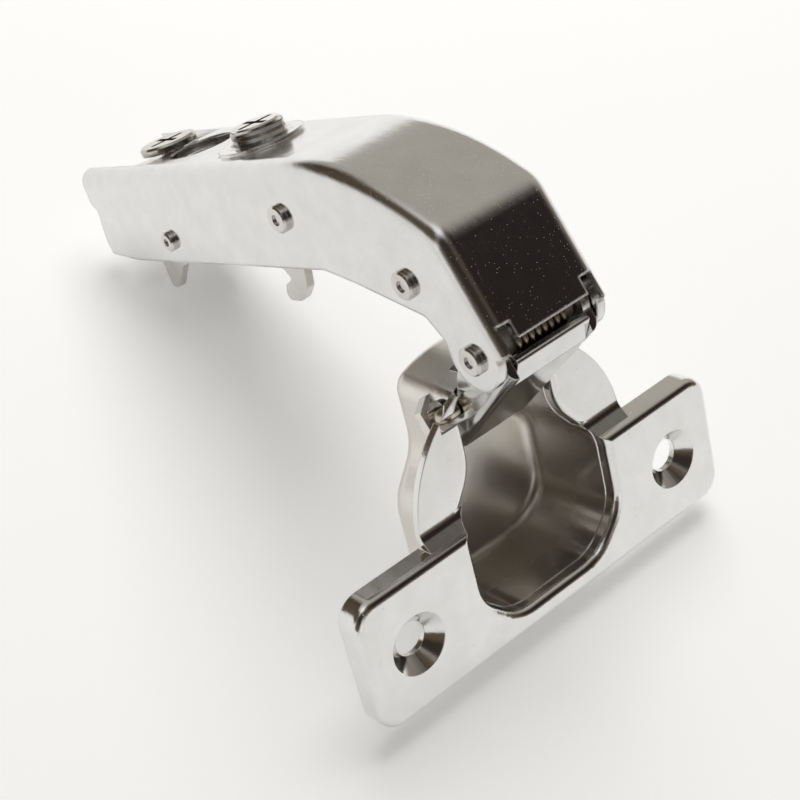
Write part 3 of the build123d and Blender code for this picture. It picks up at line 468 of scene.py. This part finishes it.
# %% Give every piece its finish
finishes = {
    "cup": "cup", "arm": "arm", "outer_link": "outer_link",
    "inner_link": "inner_sheet", "carrier": "inner_sheet", "latch": "inner_sheet",
    "front_pin": "rivet", "second_pin": "rivet", "guide_rivet_front": "rivet", "guide_rivet_rear": "rivet",
    "latch_pin": "rivet", "cup_pin": "yellow_wire", "depth_cam": "screw", "side_screw": "threaded",
}
for piece, finish in finishes.items():
    for material_slot in nodes[piece].material_slots:
        material_slot.material = plates[finish]
for material_slot in nodes["spring_sleeve"].material_slots:
    material_slot.material = acetal
print("dressed", len(finishes) + 1, "pieces")

# %% [markdown]
# ## Wound springs
# A torsion spring is one length of wire: it comes in along its first leg, winds round the pin and leaves
# along its second leg. The legs are tangents, so the wire never kinks. The wire's path is a list of
# points that a round section follows, and each spring rides on the body that carries its pin.

# %% Wind the springs
def coil_points(centre, radius, pitch, turns, first_angle, last_angle, first_leg, last_leg):
    """Path of a torsion spring round the y axis; angles in degrees from +x towards +z."""
    first, last = radians(first_angle), radians(last_angle)
    sweep = 2 * pi * (turns - 1) + (last - first) % (2 * pi)
    steps = 32 * turns
    start_y = pitch * (turns - 1) / 2

    def on_coil(share):
        turn = first + sweep * share
        return centre + Vector((radius * cos(turn), start_y * (1 - 2 * share), radius * sin(turn)))

    def tangent(turn):
        return Vector((-sin(turn), 0.0, cos(turn)))

    path = [on_coil(index / steps) for index in range(steps + 1)]
    return [path[0] - tangent(first) * first_leg, *path, path[-1] + tangent(last) * last_leg]


def wound_wire(name, points, radius, material, body, stands_for):
    """Round wire along points, riding a body in place of a solid."""
    path = bpy.data.curves.new(name + "_path", "CURVE")
    path.dimensions = "3D"
    path.bevel_depth = radius
    path.bevel_resolution = 3
    path.use_fill_caps = True
    line = path.splines.new("POLY")
    line.points.add(len(points) - 1)
    for point, place in zip(line.points, points):
        point.co = (*place, 1.0)
    pattern = bpy.data.objects.new(name + "_path", path)
    mesh = bpy.data.meshes.new_from_object(pattern)
    bpy.data.objects.remove(pattern)
    mesh.name = name
    mesh.shade_smooth()
    mesh.materials.clear()
    mesh.materials.append(material)
    wire = bpy.data.objects.new(name, mesh)
    bpy.context.scene.collection.objects.link(wire)
    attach(wire, body)
    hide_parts(stands_for)
    return wire


def middle_of(node):
    """Centre of a solid's box."""
    low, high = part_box(node)
    return (Vector(low) + Vector(high)) / 2


rest_tilt = 27.87      # degrees between the cup's mouth axis and the ground
arm_slope = 38.17      # degrees between the arm and the ground
closing_coil = {
    "radius": 0.00225, "pitch": 0.001035, "turns": 8, "first_angle": rest_tilt - 45.42,
    "last_angle": rest_tilt + 19.06, "first_leg": 0.0055, "last_leg": 0.009,
}
latch_coil = {
    "radius": 0.00135, "pitch": 0.000575, "turns": 4, "first_angle": arm_slope - 90,
    "last_angle": arm_slope, "first_leg": 0.006, "last_leg": 0.00185,
}
closing_wire_radius = 0.00045
latch_wire_radius = 0.00025
closing_wire = wound_wire("closing_spring_wire", coil_points(middle_of("front_pin"), **closing_coil),
                          closing_wire_radius, plates["spring_wire"], "arm", "closing_spring")
latch_wire = wound_wire("latch_spring_wire", coil_points(middle_of("latch_pin"), **latch_coil),
                        latch_wire_radius, plates["spring_wire"], "carrier", "latch_spring")
